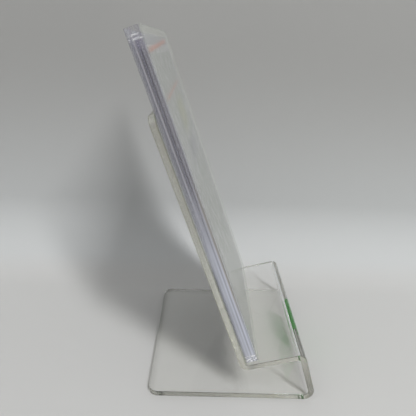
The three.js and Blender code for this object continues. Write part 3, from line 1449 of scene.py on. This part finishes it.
class RibTree:
    """A node tree that lays short round ribs along a straight seam."""

    SIDES = 8
    INPUTS = (("Start", "Vector"), ("Step", "Vector"), ("Count", "Int"),
              ("Turn", "Vector"), ("Length", "Float"), ("Radius", "Float"),
              ("Material", "Material"))
    NODES = (("given", "NodeGroupInput"), ("line", "GeometryNodeMeshLine"),
             ("rib", "GeometryNodeMeshCylinder"),
             ("copies", "GeometryNodeInstanceOnPoints"),
             ("real", "GeometryNodeRealizeInstances"),
             ("dress", "GeometryNodeSetMaterial"), ("result", "NodeGroupOutput"))
    LINKS = (("given", "Start", "line", "Start Location"),
             ("given", "Step", "line", "Offset"), ("given", "Count", "line", "Count"),
             ("given", "Length", "rib", "Depth"), ("given", "Radius", "rib", "Radius"),
             ("line", "Mesh", "copies", "Points"), ("rib", "Mesh", "copies", "Instance"),
             ("given", "Turn", "copies", "Rotation"),
             ("copies", "Instances", "real", "Geometry"),
             ("real", "Geometry", "dress", "Geometry"),
             ("given", "Material", "dress", "Material"),
             ("dress", "Geometry", "result", "Geometry"))

    def __init__(self) -> None:
        """Builds the tree."""
        tree = bpy.data.node_groups.new("weld_ribs", "GeometryNodeTree")
        for name, kind in self.INPUTS:
            tree.interface.new_socket(name, in_out="INPUT", socket_type=f"NodeSocket{kind}")
        tree.interface.new_socket("Geometry", in_out="OUTPUT",
                                  socket_type="NodeSocketGeometry")
        nodes = {name: tree.nodes.new(kind) for name, kind in self.NODES}
        nodes["rib"].inputs["Vertices"].default_value = self.SIDES
        for source, output, target, socket in self.LINKS:
            tree.links.new(nodes[source].outputs[output], nodes[target].inputs[socket])
        self.tree = tree
        self.keys = {item.name: item.identifier for item in tree.interface.items_tree
                     if item.in_out == "INPUT"}

    def run(self, start: Vector, end: Vector, along: Vector, length: float,
            radius: float, pitch: float, material: bpy.types.Material) -> bpy.types.Mesh:
        """Makes one seam's ribs.

        Args:
            start: The middle of the first rib.
            end: About where the last rib lies.
            along: The ribs' own direction.
            length: A rib's length.
            radius: Its radius.
            pitch: The distance from rib to rib.
            material: Its material.

        Returns:
            The ribs as a plain mesh.
        """
        gap = end - start
        turn = Vector((0, 0, 1)).rotation_difference(along).to_euler()
        values = {"Start": start, "Step": gap.normalized() * pitch,
                  "Count": int(gap.length / pitch) + 1, "Turn": turn, "Length": length,
                  "Radius": radius, "Material": material}
        host = add_object("rib_host", bpy.data.meshes.new("rib_host"))
        modifier = host.modifiers.new("ribs", "NODES")
        modifier.node_group = self.tree
        for name, value in values.items():
            modifier[self.keys[name]] = value
        ready = host.evaluated_get(bpy.context.evaluated_depsgraph_get())
        mesh = bpy.data.meshes.new_from_object(ready)
        bpy.data.objects.remove(host)
        return mesh


def join(name: str, meshes: Sequence[bpy.types.Mesh]) -> bpy.types.Object:
    """Joins plain meshes of one material into one piece.

    Args:
        name: The piece's name.
        meshes: The meshes. They are removed.

    Returns:
        The piece.
    """
    whole = bmesh.new()
    for mesh in meshes:
        whole.from_mesh(mesh)
    material = meshes[0].materials[0]
    for mesh in meshes:
        bpy.data.meshes.remove(mesh)
    return piece_from(name, whole, (material,))


# ------------------------------------------------------------------ studio


@dataclass(frozen=True)
class Lamp:
    """A soft rectangular lamp.

    Attributes:
        name: The lamp's name.
        azimuth: Its direction from the object, in degrees to the camera's right.
        elevation: How high that is, in degrees.
        distance: How far away it is.
        height: How high the point is from which that is measured.
        size: Its width and height.
        aim: What it points at.
        power: Its power in watts.
    """

    name: str
    azimuth: float
    elevation: float
    distance: float
    height: float
    size: Span
    aim: tuple[float, float, float]
    power: float

    def build(self) -> None:
        """Hangs the lamp and turns it to what it lights."""
        azimuth, elevation = math.radians(self.azimuth), math.radians(self.elevation)
        towards = Vector((math.sin(azimuth) * math.cos(elevation),
                          -math.cos(azimuth) * math.cos(elevation), math.sin(elevation)))
        data = bpy.data.lights.new(self.name, "AREA")
        data.shape = "RECTANGLE"
        data.size, data.size_y = self.size
        data.energy = self.power
        lamp = add_object(self.name, data)
        lamp.location = towards * self.distance + Vector((0, 0, self.height))
        facing = lamp.location - Vector(self.aim)
        lamp.rotation_euler = facing.to_track_quat("Z", "Y").to_euler()


@dataclass
class Studio:
    """The pale sweep, the lamps, the light of the room and the camera.

    Attributes:
        lamps: A narrow key lamp and a weak fill lamp.
        paper: The sweep's finish.
        floor_drop: How far the floor is under the stand.
        floor_front: Where the floor starts.
        sweep_start: Where it starts to curve up.
        sweep_radius: The curve's radius.
        sweep_steps: How many steps the curve has.
        sweep_half: Half of the sweep's width.
        wall_top: How high the wall goes.
        ceiling: From which share of the way up to which the room gets brighter.
        side_light: How bright it is at the sides.
        top_light: How bright it is overhead.
        surround: What shows round the sweep and through clear plastic.
        lens: The camera's focal length in millimetres.
        sensor: The width of its sensor in millimetres.
        near_clip: The nearest distance that it sees.
        camera_place: Where it is.
        yaw: How far it looks to the right, in degrees.
        pitch: How far it looks down.
        roll: How far its right side is raised.
        ray_steps: How often a ray may pass, be mirrored, be bent and turn in all.
    """

    lamps: tuple[Lamp, ...] = (
        Lamp("soft_lamp", 30.0, 52.0, 1.2, 0.08, (0.10, 0.63), (-0.22, 0.08, 0.0), 9.0),
        Lamp("fill_lamp", -62.0, 46.0, 1.0, 0.0, (0.7, 0.7), (0.0, 0.0, 0.0), 0.95))
    paper: SweepPaper = SweepPaper()
    floor_drop: float = 0.05 * MM
    floor_front: float = -1.5
    sweep_start: float = 0.05
    sweep_radius: float = 0.05
    sweep_steps: int = 24
    sweep_half: float = 1.6
    wall_top: float = 1.6
    ceiling: Span = (0.2, 1.0)
    side_light: float = 0.06
    top_light: float = 0.66
    surround: Colour = (0.47, 0.48, 0.48)
    lens: float = 34.854
    sensor: float = 36.0
    near_clip: float = 5 * MM
    camera_place: tuple[float, float, float] = (-0.01461, -0.19877, 0.16468)
    yaw: float = 0.857
    pitch: float = 22.015
    roll: float = 2.110
    ray_steps: tuple[int, int, int, int] = (48, 28, 28, 32)

    def build(self) -> None:
        """Makes everything that isn't part of the object."""
        self._sweep()
        for lamp in self.lamps:
            lamp.build()
        self._world()
        self._camera()
        self._light_paths()

    def _sweep(self) -> None:
        """Makes a plain floor that curves up into a plain wall."""
        arc = [(self.sweep_start + self.sweep_radius * math.sin(a),
                self.sweep_radius * (1 - math.cos(a)))
               for a in (math.radians(90 * k / self.sweep_steps)
                         for k in range(self.sweep_steps + 1))]
        profile = [(self.floor_front, 0.0), *arc, (arc[-1][0], self.wall_top)]
        points = [(x, y, z - self.floor_drop) for x in (-self.sweep_half, self.sweep_half)
                  for y, z in profile]
        count = len(profile)
        data = bpy.data.meshes.new("sweep")
        data.from_pydata(points, [], [(k, count + k, count + k + 1, k + 1)
                                      for k in range(count - 1)])
        data.shade_smooth()
        data.materials.append(self.paper.dress())
        add_object("sweep", data)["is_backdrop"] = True

    def _world(self) -> None:
        """Lights the room softly, brighter overhead than at the sides."""
        graph = Graph("studio", world=True)
        _, _, rise = graph.parts(graph.node("ShaderNodeTexCoord")["Generated"])
        colour = graph.blend(graph.smooth_step(rise, *self.ceiling),
                             (self.side_light,) * 3, (self.top_light,) * 3)
        path = graph.node("ShaderNodeLightPath")
        seen = path["Is Camera Ray"] + path["Is Transmission Ray"]
        light = graph.node("ShaderNodeBackground", {},
                           {"Color": graph.blend(seen, colour, self.surround)})[0]
        bpy.context.scene.world = graph.finish(light)

    def _camera(self) -> None:
        """Sets up the camera, with its small roll."""
        yaw, pitch, roll = (math.radians(a) for a in (self.yaw, self.pitch, self.roll))
        ahead = Vector((math.sin(yaw) * math.cos(pitch), math.cos(yaw) * math.cos(pitch),
                        -math.sin(pitch)))
        level = Vector((math.cos(yaw), -math.sin(yaw), 0))
        upright = level.cross(ahead)
        right = level * math.cos(roll) + upright * math.sin(roll)
        up = upright * math.cos(roll) - level * math.sin(roll)
        data = bpy.data.cameras.new("camera")
        data.sensor_width = self.sensor
        data.lens = self.lens
        data.clip_start = self.near_clip
        camera = add_object("camera", data)
        turn = Matrix((right, up, -ahead)).transposed()
        camera.matrix_world = Matrix.Translation(self.camera_place) @ turn.to_4x4()
        bpy.context.scene.camera = camera
        bpy.context.scene.view_settings.view_transform = "Standard"

    def _light_paths(self) -> None:
        """Lets light travel the whole way along the inside of the clear sheet."""
        paths = bpy.context.scene.cycles
        (paths.transparent_max_bounces, paths.glossy_bounces, paths.transmission_bounces,
         paths.max_bounces) = self.ray_steps


# ------------------------------------------------------------------ the whole object


VIEWS: tuple[tuple[Colour, Colour], ...] = (
    ((0.42, 0.50, 0.64), (0.22, 0.30, 0.22)), ((0.62, 0.52, 0.48), (0.34, 0.26, 0.24)),
    ((0.46, 0.54, 0.58), (0.28, 0.33, 0.22)), ((0.49, 0.51, 0.48), (0.74, 0.75, 0.66)))


def build_stand() -> None:
    """Makes the stand and its label."""
    stand = AcrylicStand()
    stand.build(POLISHED, SAWN)
    RiserLabel().build(stand.riser_lean, LabelFinish())


def build_album() -> None:
    """Makes the covers, the pockets and the prints."""
    low, _ = AXES.extent("album_front_cover")
    back, _ = AXES.extent("album_back_cover")
    plain = SheetFinish("cover_sheet", ClearTint.COVER_SHEET, (0.74, 0.74, 0.78), 0.10,
                        0.60, 0.16)
    folded = SpineFinish("cover_folded", ClearTint.COVER_SHEET, (0.71, 0.735, 0.83), 0.10,
                         0.60, 0.16, start=back, thickness=low.x - back.x)
    printed = CoverFinish("cover_printed", ClearTint.COVER_SHEET, (0.70, 0.72, 0.67), 0.12,
                          0.42, 0.20, bottom=low.z, near=low.y)
    film = SheetFinish("pocket_film", ClearTint.LILAC_FILM, (0.71, 0.71, 0.73), 0.05, 0.34,
                       0.08).dress()
    weld = SheetFinish("weld_plastic", ClearTint.LILAC_FILM, (0.86, 0.86, 0.92), 0.30, 0.80,
                       0.12).dress()
    covers = AlbumCovers()
    covers.build_back(folded.dress())
    covers.build_front(printed.dress())
    covers.build_crease(plain.dress())
    ribs = RibTree()
    for number, (sky, ground) in enumerate(VIEWS, start=1):
        leaf = PocketLeaf(number)
        leaf.build_films(film)
        leaf.build_ribs(ribs, weld)
        leaf.build_hinge(film)
        leaf.build_print(sky, ground)


def write_sizes() -> None:
    """Measures the CAD box and the visual model's box, side by side."""
    boxes = {"cad": CAD_BOX, "visual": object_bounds()}
    plain = {name: [list(corner) for corner in box] for name, box in boxes.items()}


def main() -> None:
    """Builds everything in order."""
    logging.basicConfig(level=logging.INFO, format="%(name)s: %(message)s")
    Studio().build()
    build_stand()
    build_album()
    write_sizes()


if __name__ == "__main__":
    main()
